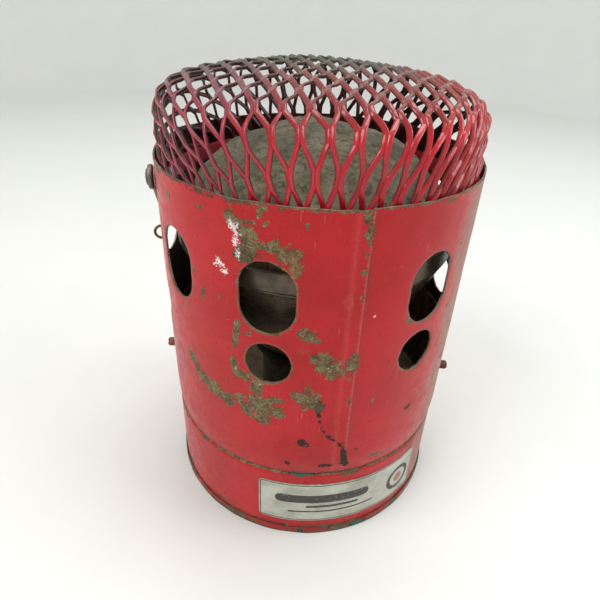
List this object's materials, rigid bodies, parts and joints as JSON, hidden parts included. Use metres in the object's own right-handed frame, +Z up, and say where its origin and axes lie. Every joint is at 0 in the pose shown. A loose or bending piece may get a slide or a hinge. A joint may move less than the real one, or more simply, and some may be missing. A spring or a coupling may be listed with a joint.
{
  "type": "catalytic kerosene heater",
  "caption": "Portable catalytic heater: round fuel tank, pierced sheet sleeve, domed fibre pad over a burner bowl, domed expanded-metal guard and a folding wire bail.",
  "frame": {"origin": "on the floor under the middle of the tank, at the middle of the whole heater's base", "axes": "+Z up along the tank's own axis, -Y towards the side the picture looks at, +X to its right"},
  "size_m": [0.176, 0.1639, 0.237],
  "materials": {
    "tank_paint": "worn gloss red enamel",
    "sleeve_paint": "worn gloss red enamel with chips",
    "guard_paint": "gloss crimson, scorched on the crown",
    "worn_steel": "bare, rusted",
    "rusty_steel": "rusted",
    "plated_steel": "dull plate",
    "dark_iron": "dull",
    "burnt_steel": "heat-tinted",
    "rusty_screw": "rusted plate",
    "bail_wire": "dull",
    "label": "scuffed print",
    "gasket": "dull",
    "wadding": "fibrous",
    "wick_cotton": "fibrous",
    "pad_fibre": "rough burnt felt"
  },
  "bodies": {
    "root": {"tank_shell": "tank_paint", "bottom_seam": "worn_steel", "tank_bottom": "worn_steel", "tank_top": "plated_steel", "label_plate": "label", "fuel_wadding": "wadding", "neck_tube": "plated_steel", "neck_collar": "dark_iron", "neck_gasket": "gasket", "upstand_ring": "rusty_steel", "sleeve": "sleeve_paint", "shell_screws": "rusty_screw", "shell_nuts": "plated_steel", "guard_stops": "sleeve_paint", "wire_loop": "rusty_screw", "bail_pivots": "plated_steel", "pivot_washers": "plated_steel"},
    "head": {"burner_spigot": "plated_steel", "burner_bowl": "burnt_steel", "bowl_packing": "wadding", "wick": "wick_cotton", "pad_grid": "burnt_steel", "catalyst_pad": "pad_fibre", "clamp_ring": "burnt_steel"},
    "guard": {"guard_mesh": "guard_paint", "guard_band": "guard_paint"},
    "bail": {"bail": "bail_wire"}
  },
  "joints": [
    {"name": "bail_swing", "type": "hinge", "parent": "root", "child": "bail", "pos_m": [0, 0, 0.182], "axis": [0.9806, 0.1959, 0], "range_deg": [0, 264]},
    {"name": "guard_lift", "type": "slide", "parent": "root", "child": "guard", "axis": [0, 0, 1], "range_m": [0, 0.05]},
    {"name": "head_lift", "type": "slide", "parent": "root", "child": "head", "axis": [0, 0, 1], "range_m": [0, 0.02]}
  ]
}
